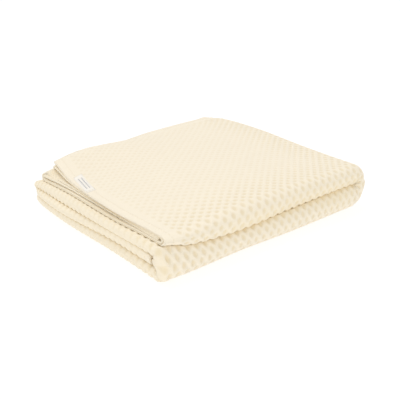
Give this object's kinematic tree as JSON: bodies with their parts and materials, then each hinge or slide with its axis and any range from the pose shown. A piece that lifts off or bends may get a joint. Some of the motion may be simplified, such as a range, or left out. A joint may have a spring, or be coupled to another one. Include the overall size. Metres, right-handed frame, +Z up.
{
  "type": "folded knitted crib blanket",
  "caption": "Cream honeycomb-knit crib blanket, folded in half, in thirds and in half again, with hemmed edges and a small bare woven label on its top ply.",
  "frame": {"origin": "middle of the folded blanket's footprint, on the surface it rests on", "axes": "+X from the open end with the hems to the closed end of the last fold, +Y from the front fold to the back, +Z up"},
  "size_m": [0.2714, 0.2448, 0.0499],
  "materials": {
    "knit": "matte cream cotton in a raised honeycomb knit",
    "ribbon": "white woven ribbon with a slight sheen"
  },
  "bodies": {
    "root": {"blanket": "knit", "label": "ribbon"}
  },
  "joints": []
}
